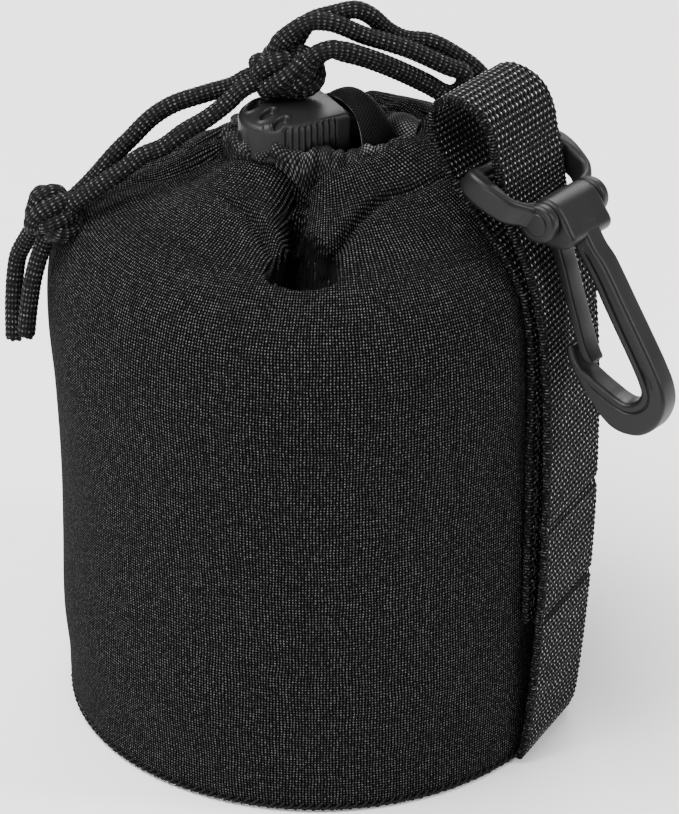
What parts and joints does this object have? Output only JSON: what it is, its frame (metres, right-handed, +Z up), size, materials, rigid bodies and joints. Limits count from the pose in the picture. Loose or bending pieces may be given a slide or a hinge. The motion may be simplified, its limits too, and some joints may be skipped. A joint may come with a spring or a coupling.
{
  "type": "lens pouch",
  "caption": "Upright padded drawstring pouch with a round base, gathered mouth, cord lock, knotted carry cord and a webbing hanger that holds a ring and a swinging snap hook.",
  "frame": {"origin": "centre of the underside of the base disc", "axes": "+Z up along the pouch, +X towards the side with the webbing strap and its hook, -Y the front with the deep pleat"},
  "size_m": [0.1123, 0.0906, 0.1274],
  "materials": {
    "neoprene": "fine jersey knit laminated on foam rubber",
    "tape": "thin woven tape with a slight sheen",
    "webbing": "ribbed woven webbing",
    "cord": "round braid",
    "thread": "sewing thread",
    "plastic": "satin moulded plastic",
    "steel": "spring wire"
  },
  "bodies": {
    "root": {"neoprene_body": "neoprene", "base_disc": "neoprene", "base_overlock_seam": "thread", "webbing_strap": "webbing", "bar_tack_upper": "thread", "bar_tack_lower": "thread", "backing_stitch_near": "thread", "backing_stitch_far": "thread", "drawstring_casing": "tape", "drawstring_in_casing": "cord", "lock_housing": "plastic", "lock_spring": "steel", "lock_knot": "cord", "end_knot": "cord", "drawstring_riser_a": "cord", "drawstring_riser_b": "cord", "carry_loop_outer": "cord", "carry_loop_inner": "cord", "left_strand_upper": "cord", "left_strand_lower": "cord", "cord_tail_a": "cord", "cord_tail_b": "cord"},
    "ring": {"web_ring": "plastic"},
    "hook": {"snap_hook": "plastic"},
    "gate": {"hook_gate": "plastic"},
    "button": {"lock_button": "plastic"}
  },
  "joints": [
    {"name": "ring_swing", "type": "hinge", "parent": "root", "child": "ring", "pos_m": [0.0346, 0.0008, 0.1076], "axis": [-0.09, -0.9893, 0.115], "range_deg": [-1, 70]},
    {"name": "hook_swing", "type": "hinge", "parent": "ring", "child": "hook", "pos_m": [0.04515, -0.00082, 0.10189], "axis": [-0.09, -0.9893, 0.115], "range_deg": [-2, 95]},
    {"name": "gate_flex", "type": "hinge", "parent": "hook", "child": "gate", "pos_m": [0.04519, -0.00147, 0.09633], "axis": [-0.09, -0.9893, 0.115], "range_deg": [0, 18], "stiffness_Nm_per_rad": 0.06},
    {"name": "lock_button_press", "type": "slide", "parent": "root", "child": "button", "axis": [-0.5315, -0.8471, 0], "range_m": [0, 0.0025], "stiffness_N_per_m": 1200, "springref_m": -0.0005, "deforming": ["lock_spring"]}
  ]
}
